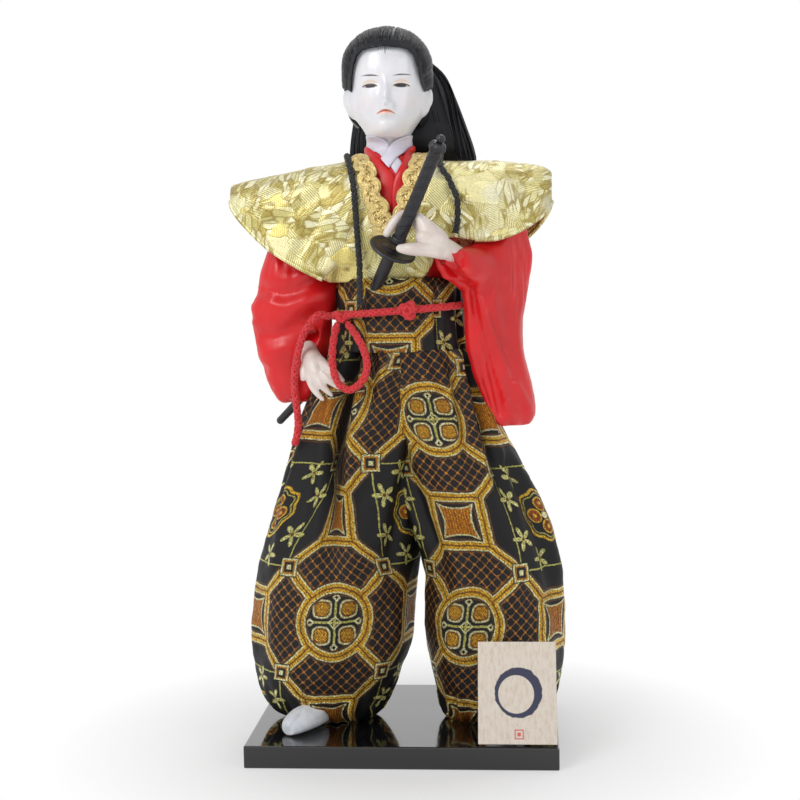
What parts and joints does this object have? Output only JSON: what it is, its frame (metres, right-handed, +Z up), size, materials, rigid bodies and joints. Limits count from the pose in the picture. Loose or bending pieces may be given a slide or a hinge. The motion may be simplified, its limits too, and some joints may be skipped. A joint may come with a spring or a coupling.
{
  "type": "samurai doll",
  "caption": "Standing warrior doll in a stiff gold vest, red satin sleeves and wide brocade trousers, holding a sheathed sword on a black board with a small wooden sign.",
  "frame": {"origin": "centre of the underside of the black board", "axes": "+Z up along the doll, +X to the doll's left along the board's long side, -Y the way the doll faces"},
  "size_m": [0.1373, 0.0984, 0.2964],
  "materials": {
    "lacquer": "glossy black lacquer",
    "wire": "plain steel wire",
    "brocade": "black brocade woven with gold and rust",
    "satin": "smooth red satin",
    "gold_cloth": "pale gold metallic brocade",
    "gold_braid": "gold braid",
    "white_cloth": "plain white cloth",
    "skin": "smooth off-white, satin",
    "hair": "black fibre, glossy along its length",
    "black_plastic": "moulded black plastic, semi-matt",
    "black_cord": "twisted black cord",
    "red_cord": "round braided red cord",
    "pale_wood": "planed pale wood, unfinished"
  },
  "bodies": {
    "root": {"base_board": "lacquer", "leg_wire_right": "wire", "leg_wire_left": "wire", "foot_right": "white_cloth", "foot_left": "white_cloth", "trousers": "brocade", "waistband": "brocade", "under_robe": "satin", "vest": "gold_cloth", "head": "skin", "hair_cap": "hair", "long_hair": "hair", "white_collar": "white_cloth", "red_collar": "satin", "lapel_braid_right": "gold_braid", "lapel_braid_left": "gold_braid", "sword_hilt": "black_plastic", "sword_guard": "black_plastic", "sword_scabbard": "black_plastic", "hand_right": "skin", "hand_left": "skin", "sleeve_right": "satin", "sleeve_left": "satin", "waist_cord": "red_cord", "waist_knot": "red_cord", "side_knot": "red_cord", "cord_tail": "red_cord", "cord_loop": "red_cord", "neck_cord": "black_cord", "sign": "pale_wood"}
  },
  "joints": []
}
